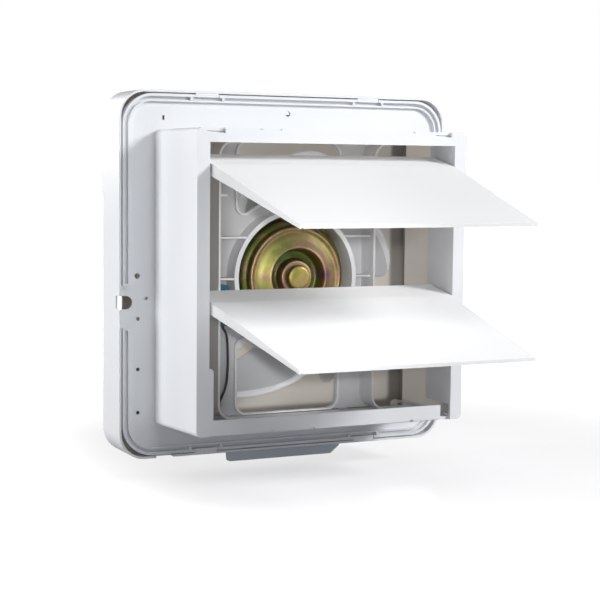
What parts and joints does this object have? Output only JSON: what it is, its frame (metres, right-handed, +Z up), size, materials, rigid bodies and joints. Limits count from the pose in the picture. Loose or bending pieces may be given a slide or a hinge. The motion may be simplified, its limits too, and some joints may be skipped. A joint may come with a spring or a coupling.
{
  "type": "wall exhaust fan",
  "caption": "Square wall exhaust fan with a flat front panel, swept impeller, enclosed motor on a moulded bracket, square wall duct and coupled gravity louvre flaps.",
  "frame": {"origin": "centre of the four wall screws, on the duct's axis, level with the wall flange's rear face", "axes": "+Z up, +Y along the duct out through the wall, -Y into the room, +X to the right when looking out through the wall from the room"},
  "size_m": [0.3, 0.2678, 0.3092],
  "materials": {
    "white_plastic": "smooth satin moulding",
    "cover_plastic": "smooth light gloss",
    "panel_plastic": "smooth light gloss",
    "flap_plastic": "smooth satin sheet",
    "bracket_plastic": "satin moulding",
    "impeller_plastic": "satin moulding",
    "zinc_plate": "yellow iridescent zinc plating on pressed steel",
    "steel": "plain bright steel",
    "lamination": "dull stacked laminations",
    "copper": "varnished enamelled copper winding",
    "bronze": "oiled sintered bronze",
    "black_fibre": "dull black fibre",
    "lead_cover": "smooth flexible cover",
    "slate_plastic": "smooth dark gray-blue",
    "teal_case": "smooth moulded case"
  },
  "bodies": {
    "fan_body": {"housing": "white_plastic", "shutter_frame": "white_plastic", "motor_bracket": "bracket_plastic", "bracket_screws": "steel", "motor_rear_shell": "zinc_plate", "motor_front_shell": "zinc_plate", "motor_screws": "steel", "stator_core": "lamination", "stator_coils": "copper", "rear_bearing": "bronze", "front_bearing": "bronze", "bearing_cap": "zinc_plate", "capacitor": "teal_case", "motor_lead": "lead_cover", "terminal_block": "slate_plastic"},
    "fan_rotor": {"impeller": "impeller_plastic", "impeller_nut": "white_plastic", "motor_shaft": "steel", "rotor_core": "lamination", "thrust_washers": "black_fibre"},
    "upper_flap": {"upper_flap": "flap_plastic"},
    "lower_flap": {"lower_flap": "flap_plastic"},
    "link_bar": {"link_bar": "white_plastic"},
    "cover": {"front_cover": "cover_plastic", "front_panel": "panel_plastic"},
    "oil_cup": {"oil_cup": "slate_plastic"}
  },
  "joints": [
    {"name": "fan_spin", "type": "hinge", "parent": "fan_body", "child": "fan_rotor", "pos_m": [0, 0, -0.0026], "axis": [0, 1, 0], "continuous": true},
    {"name": "upper_flap_hinge", "type": "hinge", "parent": "fan_body", "child": "upper_flap", "pos_m": [0, 0.07975, 0.0905], "axis": [1, 0, 0], "range_deg": [-66, 14]},
    {"name": "lower_flap_hinge", "type": "hinge", "parent": "fan_body", "child": "lower_flap", "pos_m": [0, 0.07975, -0.0157], "axis": [1, 0, 0], "range_deg": [-66, 14]},
    {"name": "link_pivot", "type": "hinge", "parent": "upper_flap", "child": "link_bar", "pos_m": [0, 0.06629, 0.09091], "axis": [1, 0, 0], "range_deg": [-14, 66]},
    {"name": "cover_pull", "type": "slide", "parent": "fan_body", "child": "cover", "axis": [0, -1, 0], "range_m": [0, 0.1]},
    {"name": "oil_cup_pull", "type": "slide", "parent": "cover", "child": "oil_cup", "axis": [0, 0, -1], "range_m": [0, 0.04]}
  ],
  "couplings": [
    {"joint": "lower_flap_hinge", "follows": "upper_flap_hinge", "ratio": 1},
    {"joint": "link_pivot", "follows": "upper_flap_hinge", "ratio": -1}
  ]
}
